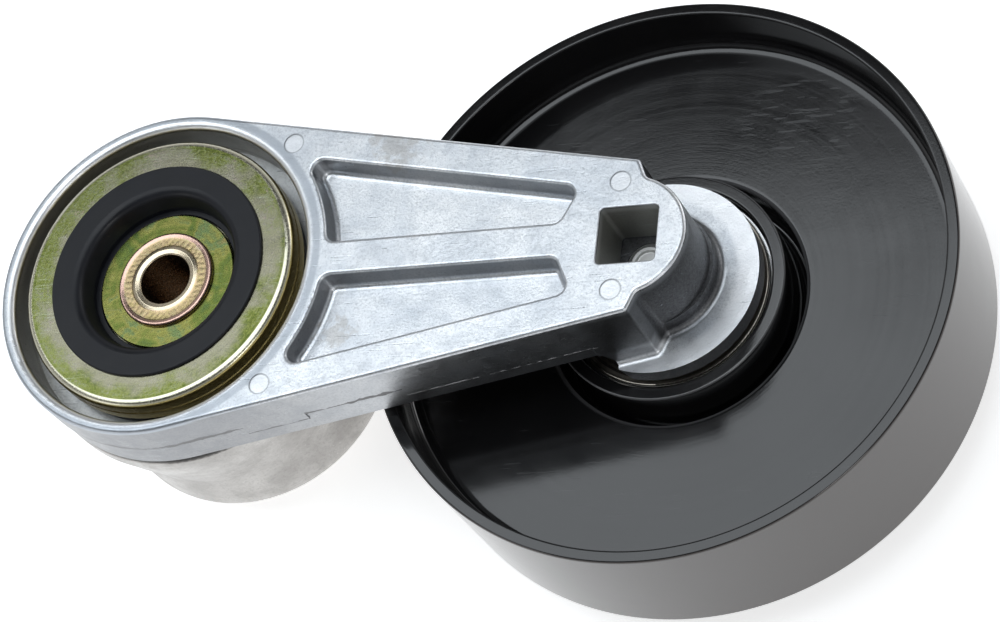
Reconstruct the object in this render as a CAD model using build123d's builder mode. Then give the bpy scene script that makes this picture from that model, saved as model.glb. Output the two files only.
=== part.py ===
from build123d import *

import os
from math import acos, atan2, cos, degrees, hypot, radians, sin, sqrt, tan

# Automatic belt tensioner: a cast arm with a flat steel idler pulley, swinging on a
# spring case that bolts to the engine. Millimetres.
# Frame: the origin is the centre of the mounting face on the pivot axis, +Z runs along
# the pivot towards the arm's front face, +X runs from the pivot to the pulley axis.

# ---------------------------------------------------------------- driving dimensions
ARM_LENGTH = 109.0  # pivot axis to pulley axis
FACE_Z = 57.0  # front face of the arm above the mounting face
SWING = 60  # travel of the arm from its free stop, degrees

RING_R = 38.5  # round end of the arm
BEAM_DEPTH = 16.4
NOSE_X = 107.9  # the arm's small end is an arc about this point
NOSE_R = 13.8
SHOULDER = (110.2, 17.5)  # where the straight side ends
SHOULDER_CORNER = 1.0
STEP_FOOT = (112.0, 13.0)  # bottom of the step between the side and the nose
STEP_CORNER = 2.0
SPLIT_X = 37.0  # the casting is drawn as two solids that meet on this plane
FRONT_EDGE = 0.9
NECK_FOOT = 1.5
PARTING_STEP = 0.3  # the casting is this much narrower behind its parting line
PARTING = ((-60, 22, 9.0), (22, 36, 12.0), (36, 58, 9.6), (58, 140, 12.4))
RECESS_R = 35.4
RECESS_DEPTH = 10.5
RECESS_EDGE = 1.5
POCKET_DEPTH = 5.0
POCKET_DRAFT = 10
POCKET_WALL = 7.55
POCKET_START_R = 40.2
POCKET_END = 97.5
POCKET_SLANT = 4.0
POCKET_CORNER = 2.5
RIB_HALF = 3.9
REAR_POCKET_WALL = 4.55
REAR_RIB_HALF = 2.9
REAR_POCKET_END = 90.5
REAR_POCKET_DEPTH = 6.2
POCKET_FLOOR_CORNER = 1.3
POCKET_RIM = 0.8
DRIVE_SQUARE = 12.9  # takes a half-inch square drive
DRIVE_DEPTH = 14.4
DRIVE_CORNER = 1.0
DRIVE_EDGE = 0.35
FLANGE_R = 22.1
FLANGE_TOP = FACE_Z - 20.8
FLANGE_BOTTOM = FACE_Z - 24.7
FLANGE_CUT_X = 99.6  # a sloping face trims the flange under the beam
FLANGE_CUT_SLOPE = 0.52
BOSS_R = 13.5
HOLLOW_R = 35.0  # room for the spring, behind the recess
SKIRT_INNER_R = 30.1
SKIRT_OUTER_R = 33.1
SKIRT_END = 31.0
SLEEVE_END = 9.0
EJECTOR_R = 2.3
EJECTOR_DEPTH = 0.15
EJECTOR_MARKS = ((29.0, 28.8), (106.5, 12.5))

RETAINER_R = 16.1
RETAINER_TOP = FACE_Z - 4.85
RETAINER_THICKNESS = 1.7
TUBE_FLARE_R = 11.3
FLARE_HEIGHT = 1.25
FLARE_DISH_TOP = 0.9  # the peened hollow between the flare's two rims
FLARE_DISH = (8.1, 9.9)
FLARE_INNER_RIM_R = 7.1
PLATE_R = 32.3
PLATE_TOP = FACE_Z + 0.1
PLATE_THICKNESS = 2.1
PLATE_ROLL = 1.6
PLATE_DISH_R = 18.4  # foot of the slope down to the retaining washer
PLATE_SLOPE_R = 21.5  # top of that slope
PLATE_GROOVE_Z = 53.2
PLATE_GROOVE = 0.3
SEAL_R = 25.4
SEAL_TOP = FACE_Z + 0.85
SEAL_INNER_R = 18.7  # where the flat top rolls down towards the washer
SEAL_LIP_R = 17.5
THRUST_WASHER_R = 31.5

BORE_R = 5.85  # mounting bolt hole, right through the pivot tube
TUBE_R = 9.0
BUSH_R = 10.6
FRONT_BUSH_BACK = 30.0
REAR_BUSH_TOP = 25.0
SLEEVE_R = 14.3
RUNNING_GAP = 0.05
CASE_MOUTH_R = 38.3
CASE_MOUTH_Z = 39.6
CASE_BODY_R = 33.9  # straight up to the waist, then flared to the mouth
CASE_WAIST_Z = 18.0
CASE_FLARE_Z = 36.0
CASE_FOOT_CORNER = 7.0
CASE_WALL = 3.2
CASE_FLOOR = 5.0
CASE_BOSS_R = 13.0
CASE_BOSS_TOP = 8.3
RELIEF_OUTER_R = 24.5  # shallow relief in the mounting face
RELIEF_INNER_R = 15.0
RELIEF_DEPTH = 1.5
RELIEF_RIBS = 6
RELIEF_RIB = 3.2
DAMPER_SEAT_R = 35.0
DAMPER_SEAT_Z = 32.0
STOP_WIDTH = 14  # each stop lug, degrees
STOP_START = 10
STOP_INNER_R = 29.3
STOP_OUTER_R = 31.8
STOP_END = 24.0
CASE_STOP_INNER_R = 28.6
CASE_STOP_OUTER_R = 33.3
CASE_STOP_SPAN = (22.0, 28.5)
PIN_R = 4.0
PIN_REACH = 7.0
PIN_NECK = 0.5  # undercut at the mounting face
PIN_SHANK_R = 4.6
PIN_CIRCLE = 19.5
PIN_ANGLE = 205

SPRING_R = 24.4
WIRE = 5.6
SPRING_PITCH = 6.5
SPRING_TURNS = 4.75
SPRING_SEAT = 1.0
LUG_WIDTH = 13  # each spring abutment, degrees

PULLEY_R = 65.4
PULLEY_WIDTH = 33.6
PULLEY_BACK = 5.0
PULLEY_WALL = 2.7
WEB_Z = FACE_Z - 31.3  # at the rim; the web sinks a little towards the hub
WEB_DISH = 1.2
WEB_OUTER_R = 59.2
WEB_INNER_R = 34.0
WELL_R = 28.9
HUB_LIP_Z = FACE_Z - 25.1
HUB_R = 26.4

BEARING_R = 23.5  # 20 x 47 x 14 ball bearing
BEARING_BORE_R = 10.0
BEARING_WIDTH = 14.0
BEARING_FRONT = 29.4
BALLS = 8
BALL_R = 3.9
BALL_CIRCLE_R = 16.75
RACE_R = 4.05
INNER_RING_R = 14.0
OUTER_RING_R = 19.6
SEAL_SEAT_R = 20.4
CAGE_SHEET = 0.6
RIVET_R = 0.5
SHIELD_R = 22.6
SHIELD_STEP = 0.6
SHIELD_SHEET = 0.8
SHIELD_HUB_R = 14.2
REAR_SHIELD_R = 20.5
CAGE_INNER_R = 15.6
CAGE_OUTER_R = 17.9

BOLT_R = 5.0
BOLT_LENGTH = 30.2
BOLT_CENTRE_R = 3.0
BOLT_HOLE_R = 5.3
BOLT_WASHER_R = 10.5
BOLT_SEAT = 13.2
HEX_FLATS = 16.0
HEX_HEIGHT = 6.4
HEX_CHAMFER = 1.6
BOLT_CHAMFER = (1.3, 1.1)  # across and along the thread's end

# -------------------------------------------------------------------- worked-out sizes
RECESS_FLOOR = FACE_Z - RECESS_DEPTH
RING_WEB_BACK = RECESS_FLOOR - 3.5
BEAM_BACK = FACE_Z - BEAM_DEPTH
DRIVE_FLOOR = FACE_Z - DRIVE_DEPTH
RETAINER_BACK = RETAINER_TOP - RETAINER_THICKNESS
DISH_BACK = RETAINER_BACK - PLATE_THICKNESS
PULLEY_FRONT = PULLEY_BACK + PULLEY_WIDTH
BEARING_BACK = BEARING_FRONT - BEARING_WIDTH
PULLEY_INNER_R = PULLEY_R - PULLEY_WALL
BEARING_MID = BEARING_FRONT - BEARING_WIDTH / 2
SPIGOT_END = BEARING_BACK + 1.0
BOSS_END = BEARING_FRONT + 1.0
WASHER_FRONT = BEARING_BACK - 1.0
SPRING_FOOT = CASE_FLOOR + SPRING_SEAT + WIRE / 2 + 0.1
SPRING_HEIGHT = SPRING_PITCH * SPRING_TURNS
SPRING_TOP_ANGLE = -360 * SPRING_TURNS % 360

PIVOT = Axis((0, 0, 0), (0, 0, 1))
PULLEY = Axis((ARM_LENGTH, 0, 0), (0, 0, 1))


# ---------------------------------------------------------------------------- helpers
def turn(corners, axis=PIVOT, arc=360.0, start=0.0, mode=Mode.ADD):
    """Revolve a closed section of (radius, height, corner radius) about an axis."""
    facing = Vector(1, 0, 0).rotate(Axis.Z, start)
    plane = Plane(axis.position, x_dir=facing, z_dir=facing.rotate(Axis.Z, -90))
    with BuildSketch(plane) as section:
        with BuildLine():
            FilletPolyline(
                *[(radius, height) for radius, height, _ in corners],
                radius=[rounding for _, _, rounding in corners],
                close=True,
            )
        make_face()
    revolve(section.sketch, axis=axis, revolution_arc=arc, mode=mode)


def ring(inner, outer, low, high, axis=PIVOT, edge=0.0, **options):
    """A plain ring with the same rounding on its four edges."""
    corners = [(inner, low), (outer, low), (outer, high), (inner, high)]
    turn([(radius, height, edge) for radius, height in corners], axis, **options)


def disc(radius, low, high, axis=PIVOT, mode=Mode.ADD):
    """A solid cylinder on a vertical axis."""
    with BuildSketch(Plane(axis.position + Vector(0, 0, low))) as face:
        Circle(radius)
    extrude(face.sketch, amount=high - low, mode=mode)


def side_touch(radius, corner):
    """Angle at which a line from the corner touches a circle round the pivot, degrees."""
    return degrees(atan2(corner[1], corner[0]) + acos(radius / hypot(*corner)))


def arm_outline(inset=0.0):
    """The arm seen from the front, optionally drawn in a little all round."""
    shoulder = (SHOULDER[0] - inset, SHOULDER[1] - inset)
    foot = (STEP_FOOT[0] - inset, STEP_FOOT[1] - inset)
    ring_r, nose_r = RING_R - inset, NOSE_R - inset
    touch = side_touch(ring_r, shoulder)
    with BuildSketch() as outline:
        with BuildLine():
            big = CenterArc((0, 0), ring_r, touch, 180 - touch)
            nose_touch = degrees(acos((foot[0] - NOSE_X) / nose_r))
            nose = CenterArc((NOSE_X, 0), nose_r, 0, nose_touch)
            Polyline(big @ 0, shoulder, nose @ 1)
            mirror(about=Plane.XZ)
        make_face()
        for corner, radius in ((foot, STEP_CORNER), (shoulder, SHOULDER_CORNER)):
            near = outline.vertices().filter_by(
                lambda v: v.X > ARM_LENGTH and abs(abs(v.Y) - corner[1]) < 1
            )
            fillet(near, radius)
    return outline.sketch


def pockets(wall, rib, end):
    """The two relief pockets either side of the arm's middle rib."""
    touch = side_touch(RING_R, SHOULDER)
    line_distance = RING_R - wall
    start_angle = radians(touch) - acos(line_distance / POCKET_START_R)
    start = (POCKET_START_R * cos(start_angle), POCKET_START_R * sin(start_angle))
    end_y = line_distance / sin(radians(touch)) - end / tan(radians(touch))
    rib_start = (sqrt(POCKET_START_R**2 - rib**2), rib)
    with BuildSketch() as shape:
        with BuildLine():
            Polyline(rib_start, (end - POCKET_SLANT, rib), (end, end_y), start)
            RadiusArc(start, rib_start, POCKET_START_R)
        make_face()
        fillet(shape.vertices(), POCKET_CORNER)
        mirror(about=Plane.XZ)
    return shape.sketch


def at_height(height, shapes):
    """The shapes that lie wholly at one height."""
    return shapes.filter_by_position(Axis.Z, height - 0.01, height + 0.01)


# -------------------------------------------------------------------------------- arm
with BuildPart() as tension_arm:
    with BuildSketch(Plane.XY.offset(BEAM_BACK)):
        add(arm_outline(PARTING_STEP))
    extrude(amount=BEAM_DEPTH)
    for x_from, x_to, depth in PARTING:
        with BuildSketch(Plane.XY.offset(FACE_Z)):
            add(arm_outline())
            with Locations(((x_from + x_to) / 2, 0)):
                Rectangle(x_to - x_from, 4 * RING_R, mode=Mode.INTERSECT)
        extrude(amount=-depth)

    # the small end's neck and flange, trimmed by a sloping face under the beam
    with BuildSketch(Plane.XY.offset(FLANGE_BOTTOM)):
        add(arm_outline())
        with Locations((ARM_LENGTH, 0)):
            Circle(FLANGE_R, mode=Mode.INTERSECT)
    extrude(amount=FACE_Z - FLANGE_BOTTOM - PARTING[-1][2])
    disc(FLANGE_R, FLANGE_BOTTOM, FLANGE_TOP, PULLEY)
    with BuildSketch(Plane.XZ):
        cut_foot = FLANGE_CUT_X + FLANGE_CUT_SLOPE * (BEAM_BACK - FLANGE_BOTTOM)
        left = ARM_LENGTH - 1.5 * FLANGE_R
        Polygon((left, BEAM_BACK), (left, FLANGE_BOTTOM), (cut_foot, FLANGE_BOTTOM),
                (FLANGE_CUT_X, BEAM_BACK), align=None)
    extrude(amount=2 * FLANGE_R, both=True, mode=Mode.SUBTRACT)
    disc(BOSS_R, BOSS_END, BEAM_BACK, PULLEY)

    neck_foot = at_height(FLANGE_TOP, tension_arm.edges()).filter_by(
        lambda e: e.geom_type == GeomType.LINE or abs(e.radius - FLANGE_R) > 0.1
    )
    fillet(neck_foot.filter_by(lambda e: e.center().X > FLANGE_CUT_X + 3), NECK_FOOT)
    fillet(at_height(FACE_Z, tension_arm.edges()), FRONT_EDGE)

    # the round end: a recess in front, a hollow for the spring behind, and the pivot sleeve
    disc(RECESS_R, RECESS_FLOOR, FACE_Z + 1, mode=Mode.SUBTRACT)
    fillet(at_height(FACE_Z, tension_arm.edges()).filter_by(GeomType.CIRCLE), RECESS_EDGE)
    ring(SLEEVE_R, HOLLOW_R, BEAM_BACK - 1, RING_WEB_BACK, mode=Mode.SUBTRACT)
    ring(SKIRT_INNER_R, SKIRT_OUTER_R, SKIRT_END, RING_WEB_BACK + 1)
    disc(SLEEVE_R, SLEEVE_END, RING_WEB_BACK + 1)
    disc(BUSH_R, SLEEVE_END, RECESS_FLOOR, mode=Mode.SUBTRACT)

    # the lug that meets the stops, and the abutment that the spring pushes on
    turn([(STOP_INNER_R, STOP_END, 0.5), (STOP_OUTER_R, STOP_END, 0.5),
          (STOP_OUTER_R, SKIRT_END + 1, 0), (STOP_INNER_R, SKIRT_END + 1, 0)],
         arc=STOP_WIDTH, start=STOP_START)
    ring(SPRING_R - WIRE / 2, SPRING_R + WIRE / 2, RING_WEB_BACK - WIRE, RING_WEB_BACK + 1,
         arc=LUG_WIDTH, start=SPRING_TOP_ANGLE - LUG_WIDTH - 0.5)

    # relief pockets in front and behind
    with BuildSketch(Plane.XY.offset(FACE_Z)):
        add(pockets(POCKET_WALL, RIB_HALF, POCKET_END))
    extrude(amount=-POCKET_DEPTH, taper=POCKET_DRAFT, mode=Mode.SUBTRACT)
    fillet(at_height(FACE_Z - POCKET_DEPTH, tension_arm.edges()), POCKET_FLOOR_CORNER)
    pocket_rims = at_height(FACE_Z, tension_arm.edges()).filter_by(
        lambda e: POCKET_START_R - 0.5 < e.center().X < POCKET_END + 0.5 and e.length < POCKET_END
    )
    fillet(pocket_rims, POCKET_RIM)
    with BuildSketch(Plane.XY.offset(BEAM_BACK)):
        add(pockets(REAR_POCKET_WALL, REAR_RIB_HALF, REAR_POCKET_END))
    extrude(amount=REAR_POCKET_DEPTH, taper=POCKET_DRAFT, mode=Mode.SUBTRACT)
    fillet(at_height(BEAM_BACK + REAR_POCKET_DEPTH, tension_arm.edges()), POCKET_FLOOR_CORNER)

    # the square drive socket and the bolt's hole on the pulley axis
    with BuildSketch(Plane.XY.offset(FACE_Z)):
        with Locations((ARM_LENGTH, 0)):
            RectangleRounded(DRIVE_SQUARE, DRIVE_SQUARE, DRIVE_CORNER)
    extrude(amount=-DRIVE_DEPTH, mode=Mode.SUBTRACT)
    mouth = at_height(FACE_Z, tension_arm.edges()).filter_by(
        lambda e: (e.center() - Vector(ARM_LENGTH, 0, FACE_Z)).length < DRIVE_SQUARE * 0.75
    )
    fillet(mouth, DRIVE_EDGE)
    disc(BEARING_BORE_R, SPIGOT_END, BOSS_END, PULLEY)
    disc(BOLT_R, SPIGOT_END, DRIVE_FLOOR, PULLEY, mode=Mode.SUBTRACT)

    # round marks left by the ejector pins
    for mark_x, mark_y in EJECTOR_MARKS:
        for side in (1, -1):
            mark = Axis((mark_x, side * mark_y, 0), (0, 0, 1))
            disc(EJECTOR_R, FACE_Z - EJECTOR_DEPTH, FACE_Z + 1, mark, mode=Mode.SUBTRACT)

# one casting, drawn as two solids so that each keeps a simple shape
with BuildPart() as arm_pivot_end:
    add(tension_arm.part)
    split(bisect_by=Plane.YZ.offset(SPLIT_X), keep=Keep.BOTTOM)

with BuildPart() as arm_beam:
    add(tension_arm.part)
    split(bisect_by=Plane.YZ.offset(SPLIT_X), keep=Keep.TOP)

with BuildPart() as front_bush:
    ring(TUBE_R + RUNNING_GAP, BUSH_R, FRONT_BUSH_BACK, RECESS_FLOOR - 0.2)

with BuildPart() as rear_bush:
    ring(TUBE_R + RUNNING_GAP, BUSH_R, SLEEVE_END, REAR_BUSH_TOP)

with BuildPart() as thrust_washer:
    ring(TUBE_R + 0.3, THRUST_WASHER_R, RECESS_FLOOR, DISH_BACK - 0.1, edge=0.3)

# ------------------------------------------------------------- pulley bolt and shields
with BuildPart() as pulley_bolt:
    with BuildSketch(Plane.XY.offset(BOLT_SEAT)):
        with Locations((ARM_LENGTH, 0)):
            RegularPolygon(HEX_FLATS / 2, 6, major_radius=False)
    extrude(amount=-HEX_HEIGHT)
    head_back = BOLT_SEAT - HEX_HEIGHT
    turn([(0, head_back, 0), (HEX_FLATS / 2 - 0.3, head_back, 0),
          (HEX_FLATS, head_back + 3 * HEX_CHAMFER, 0),
          (HEX_FLATS, BOLT_SEAT, 0), (0, BOLT_SEAT, 0)], PULLEY, mode=Mode.INTERSECT)
    tip = BOLT_SEAT + BOLT_LENGTH
    shank = BOLT_R - RUNNING_GAP
    turn([(0, BOLT_SEAT, 0), (shank, BOLT_SEAT, 0), (shank, tip - BOLT_CHAMFER[1], 0),
          (shank - BOLT_CHAMFER[0], tip, 0.2), (BOLT_CENTRE_R, tip, 0.1),
          (BOLT_CENTRE_R - 0.4, tip - 0.5, 0.1), (0, tip - 0.3, 0)], PULLEY)

with BuildPart() as bolt_washer:
    ring(BOLT_HOLE_R, BOLT_WASHER_R, BOLT_SEAT, WASHER_FRONT, PULLEY, edge=0.25)

with BuildPart() as front_dust_shield:
    low = BEARING_FRONT + SHIELD_STEP
    high = low + SHIELD_SHEET
    turn([(BEARING_BORE_R, BEARING_FRONT, 0), (SHIELD_HUB_R, BEARING_FRONT, 0.2),
          (SHIELD_HUB_R + 0.7, low, 0.2), (SHIELD_R, low, 0.2), (SHIELD_R, high, 0.3),
          (SHIELD_HUB_R + 0.2, high, 0.2), (SHIELD_HUB_R - 0.4, BOSS_END, 0.2),
          (BEARING_BORE_R, BOSS_END, 0)], PULLEY)

with BuildPart() as rear_dust_shield:
    high = BEARING_BACK - SHIELD_STEP
    low = high - SHIELD_SHEET
    turn([(BOLT_HOLE_R, BEARING_BACK, 0), (BOLT_HOLE_R, WASHER_FRONT, 0),
          (SHIELD_HUB_R - 0.4, WASHER_FRONT, 0.2), (SHIELD_HUB_R + 0.2, low, 0.2),
          (REAR_SHIELD_R, low, 0.3), (REAR_SHIELD_R, high, 0.2),
          (SHIELD_HUB_R + 0.7, high, 0.2), (SHIELD_HUB_R, BEARING_BACK, 0.2)], PULLEY)

# ---------------------------------------------------------------------------- bearing
with BuildPart() as bearing_inner_ring:
    ring(BEARING_BORE_R, INNER_RING_R, BEARING_BACK, BEARING_FRONT, PULLEY, edge=0.4)
    with Locations((ARM_LENGTH, 0, BEARING_MID)):
        Torus(BALL_CIRCLE_R, RACE_R, mode=Mode.SUBTRACT)

with BuildPart() as bearing_outer_ring:
    seat = 1.4
    turn([(BEARING_R, BEARING_BACK, 0.4), (BEARING_R, BEARING_FRONT, 0.4),
          (SEAL_SEAT_R, BEARING_FRONT, 0.2), (SEAL_SEAT_R, BEARING_FRONT - seat, 0),
          (OUTER_RING_R, BEARING_FRONT - seat, 0.2), (OUTER_RING_R, BEARING_BACK + seat, 0.2),
          (SEAL_SEAT_R, BEARING_BACK + seat, 0), (SEAL_SEAT_R, BEARING_BACK, 0.2)], PULLEY)
    with Locations((ARM_LENGTH, 0, BEARING_MID)):
        Torus(BALL_CIRCLE_R, RACE_R, mode=Mode.SUBTRACT)

with BuildPart() as front_bearing_seal:
    ring(INNER_RING_R + 0.3, SEAL_SEAT_R, BEARING_FRONT - 1.4, BEARING_FRONT - 0.5, PULLEY, edge=0.2)

with BuildPart() as rear_bearing_seal:
    ring(INNER_RING_R + 0.3, SEAL_SEAT_R, BEARING_BACK + 0.5, BEARING_BACK + 1.4, PULLEY, edge=0.2)

with BuildPart() as bearing_balls:
    with Locations((ARM_LENGTH, 0, BEARING_MID)):
        with PolarLocations(BALL_CIRCLE_R, BALLS):
            Sphere(BALL_R)


def rivet_places():
    """Points midway between the balls."""
    return PolarLocations(BALL_CIRCLE_R, BALLS, start_angle=180 / BALLS)


with BuildPart() as cage_front_half:
    with Locations((ARM_LENGTH, 0, BEARING_MID)):
        with PolarLocations(BALL_CIRCLE_R, BALLS):
            Sphere(RACE_R + 0.7)
    ring(CAGE_INNER_R, CAGE_OUTER_R, BEARING_MID, BEARING_MID + 6, PULLEY, mode=Mode.INTERSECT)
    ring(CAGE_INNER_R, CAGE_OUTER_R, BEARING_MID, BEARING_MID + CAGE_SHEET, PULLEY)
    with Locations((ARM_LENGTH, 0, BEARING_MID)):
        with PolarLocations(BALL_CIRCLE_R, BALLS):
            Sphere(RACE_R + 0.1, mode=Mode.SUBTRACT)
        with rivet_places():
            Cylinder(RIVET_R, 4, mode=Mode.SUBTRACT)

with BuildPart() as cage_rear_half:
    mirror(cage_front_half.part, about=Plane.XY.offset(BEARING_MID))

with BuildPart() as cage_rivets:
    with Locations((ARM_LENGTH, 0, BEARING_MID)):
        with rivet_places():
            Cylinder(RIVET_R, 2 * CAGE_SHEET)
    for sheet_face in (BEARING_MID + CAGE_SHEET, BEARING_MID - CAGE_SHEET - 0.3):
        with Locations((ARM_LENGTH, 0, sheet_face + 0.15)):
            with rivet_places():
                Cylinder(RIVET_R + 0.35, 0.3)

# ----------------------------------------------------------------------------- pulley
# One pressed sheet, drawn as three solids that meet where the web is flat.
def web_height(radius):
    """Front face of the web, which sinks a little towards the hub."""
    return WEB_Z - WEB_DISH * (PULLEY_INNER_R - radius) / (PULLEY_INNER_R - WELL_R)


def web_edge(radius, from_back=True):
    """The web's two corners at a radius where one solid meets the next."""
    front = web_height(radius)
    edge = [(radius, front - PULLEY_WALL, 0), (radius, front, 0)]
    return edge if from_back else edge[::-1]


with BuildPart() as pulley_rim:
    turn([(PULLEY_INNER_R, PULLEY_FRONT, 0.45), (PULLEY_R, PULLEY_FRONT, 0.6),
          (PULLEY_R, PULLEY_BACK, 0.6), (PULLEY_INNER_R, PULLEY_BACK, 0.45),
          (PULLEY_INNER_R, WEB_Z - PULLEY_WALL, 2.0), *web_edge(WEB_OUTER_R),
          (PULLEY_INNER_R, WEB_Z, 3.0)], PULLEY)

with BuildPart() as pulley_web:
    turn([*web_edge(WEB_OUTER_R), *web_edge(WEB_INNER_R, from_back=False)], PULLEY)

with BuildPart() as pulley_hub:
    well_r = WELL_R + PULLEY_WALL
    fold = BEARING_BACK - PULLEY_WALL
    stop_r = BEARING_R - 1.7
    turn([(well_r, web_height(well_r) - PULLEY_WALL, 2.0), (well_r, fold, 3.8),
          (stop_r, fold, 0.5), (stop_r, BEARING_BACK, 0.3), (BEARING_R, BEARING_BACK, 0),
          (BEARING_R, HUB_LIP_Z, 0.5), (HUB_R, HUB_LIP_Z, 0.4), (HUB_R, BEARING_BACK, 1.2),
          (WELL_R, BEARING_BACK, 1.2), (WELL_R, web_height(WELL_R), 1.1),
          *web_edge(WEB_INNER_R, from_back=False)], PULLEY)

# --------------------------------------------------------------- base, tube and spring
with BuildPart() as spring_case:
    body_inner = CASE_BODY_R - CASE_WALL
    mouth_inner = CASE_MOUTH_R - CASE_WALL
    turn([(TUBE_R, 0, 0), (CASE_BODY_R, 0, CASE_FOOT_CORNER), (CASE_BODY_R, CASE_WAIST_Z, 12.0),
          (CASE_MOUTH_R, CASE_FLARE_Z, 3.0), (CASE_MOUTH_R, CASE_MOUTH_Z, 0.6),
          (mouth_inner, CASE_MOUTH_Z, 0.4), (mouth_inner, CASE_FLARE_Z, 3.0),
          (body_inner, CASE_WAIST_Z, 12.0), (body_inner, CASE_FLOOR, 2.5),
          (CASE_BOSS_R, CASE_FLOOR, 1.5), (CASE_BOSS_R, CASE_BOSS_TOP, 0.5),
          (TUBE_R, CASE_BOSS_TOP, 0)])
    disc(DAMPER_SEAT_R, DAMPER_SEAT_Z, CASE_MOUTH_Z + 1, mode=Mode.SUBTRACT)
    for stop_angle in (STOP_START - STOP_WIDTH - 0.5, STOP_START + STOP_WIDTH + SWING + 0.5):
        ring(CASE_STOP_INNER_R, CASE_STOP_OUTER_R, *CASE_STOP_SPAN, edge=0.5,
             arc=STOP_WIDTH, start=stop_angle)
    ring(SPRING_R - WIRE / 2, SPRING_R + WIRE / 2, CASE_FLOOR - 1, CASE_FLOOR + WIRE,
         arc=LUG_WIDTH, start=0.5)
    pin_x = PIN_CIRCLE * cos(radians(PIN_ANGLE))
    pin_y = PIN_CIRCLE * sin(radians(PIN_ANGLE))
    with BuildSketch():
        Circle(RELIEF_OUTER_R)
        Circle(RELIEF_INNER_R, mode=Mode.SUBTRACT)
        with PolarLocations(0, RELIEF_RIBS, start_angle=PIN_ANGLE):
            Rectangle(2 * RELIEF_OUTER_R, RELIEF_RIB, align=(Align.MIN, Align.CENTER),
                      mode=Mode.SUBTRACT)
        with Locations((pin_x, pin_y)):
            Circle(PIN_R + 3.0, mode=Mode.SUBTRACT)
    extrude(amount=RELIEF_DEPTH, mode=Mode.SUBTRACT)
    with Locations((pin_x, pin_y)):
        Cylinder(PIN_SHANK_R, 4 * CASE_FLOOR, mode=Mode.SUBTRACT)

with BuildPart() as locating_pin:
    pin = Axis((pin_x, pin_y, 0), (0, 0, 1))
    turn([(0, -PIN_REACH, 0), (PIN_R - 0.8, -PIN_REACH, 0), (PIN_R, 0.8 - PIN_REACH, 0),
          (PIN_R, -PIN_NECK, 0), (PIN_R - 0.3, -PIN_NECK, 0), (PIN_R - 0.3, 0, 0),
          (PIN_SHANK_R, 0, 0), (PIN_SHANK_R, CASE_FLOOR, 0), (0, CASE_FLOOR, 0)], pin)

with BuildPart() as pivot_tube:
    flare_top, dish_top = RETAINER_TOP + FLARE_HEIGHT, RETAINER_TOP + FLARE_DISH_TOP
    turn([(BORE_R, 0, 0), (TUBE_R, 0, 0.5), (TUBE_R, RETAINER_TOP, 0),
          (TUBE_FLARE_R, RETAINER_TOP, 0.3), (TUBE_FLARE_R, flare_top, 0.55),
          (FLARE_DISH[1], dish_top, 0.5), (FLARE_DISH[0], dish_top, 0.5),
          (FLARE_INNER_RIM_R, flare_top, 0.4), (BORE_R, dish_top, 0.6)])

with BuildPart() as retaining_washer:
    ring(TUBE_R, RETAINER_R, RETAINER_BACK, RETAINER_TOP, edge=0.25)

with BuildPart() as front_plate:
    rim_back = DISH_BACK + 1.8
    under = PLATE_TOP - PLATE_THICKNESS
    dish_back_r, slope_back_r = PLATE_DISH_R + 2.0, PLATE_SLOPE_R + 1.7
    turn([(TUBE_R + 0.1, DISH_BACK, 0), (dish_back_r, DISH_BACK, 1.5), (slope_back_r, under, 1.2),
          (PLATE_R - PLATE_THICKNESS, under, 0.8), (PLATE_R - PLATE_THICKNESS, rim_back, 0.2),
          (PLATE_R, rim_back, 0.4), (PLATE_R, PLATE_GROOVE_Z - PLATE_GROOVE, 0.15),
          (PLATE_R - PLATE_GROOVE, PLATE_GROOVE_Z, 0.1), (PLATE_R, PLATE_GROOVE_Z + PLATE_GROOVE, 0.15),
          (PLATE_R, PLATE_TOP, PLATE_ROLL), (PLATE_SLOPE_R, PLATE_TOP, 1.0),
          (PLATE_DISH_R, RETAINER_BACK, 1.2), (TUBE_R + 0.1, RETAINER_BACK, 0)])

with BuildPart() as seal_ring:
    foot = RETAINER_BACK + 0.05
    seat = PLATE_TOP + 0.05
    lip_inner, lip_top = RETAINER_R + 0.2, foot + 1.2
    turn([(lip_inner, foot, 0), (PLATE_DISH_R - 0.4, foot, 1.3), (PLATE_SLOPE_R - 0.4, seat, 0.8),
          (SEAL_R, seat, 0.15), (SEAL_R, SEAL_TOP, 0.35), (SEAL_INNER_R, SEAL_TOP, 2.2),
          (SEAL_LIP_R, RETAINER_TOP + 0.7, 0.3), (SEAL_LIP_R, lip_top, 0), (lip_inner, lip_top, 0.2)])

with BuildPart() as rear_thrust_washer:
    ring(TUBE_R + 0.2, CASE_BOSS_R - 0.2, CASE_BOSS_TOP, CASE_BOSS_TOP + 0.6, edge=0.1)

with BuildPart() as damping_ring:
    ring(SKIRT_OUTER_R + 0.2, DAMPER_SEAT_R - 0.05, DAMPER_SEAT_Z, CASE_MOUTH_Z - 0.6,
         edge=0.2, arc=350, start=185)

with BuildPart() as spring_seat:
    seat_r = SPRING_R - WIRE / 2 - 0.2
    turn([(seat_r - 1.4, CASE_FLOOR, 0), (SPRING_R + WIRE / 2 + 0.4, CASE_FLOOR, 0),
          (SPRING_R + WIRE / 2 + 0.4, CASE_FLOOR + SPRING_SEAT, 0.3),
          (seat_r, CASE_FLOOR + SPRING_SEAT, 0.1), (seat_r, 16, 0.3), (seat_r - 1.4, 16, 0.3)],
         arc=330, start=15)

with BuildPart() as torsion_spring:
    with BuildLine() as coil:
        Helix(SPRING_PITCH, SPRING_HEIGHT, SPRING_R, center=(0, 0, SPRING_FOOT), lefthand=True)
    with BuildSketch(Plane(coil.line @ 0, z_dir=coil.line % 0)):
        Circle(WIRE / 2)
    sweep(path=coil.line, is_frenet=True)

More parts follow.
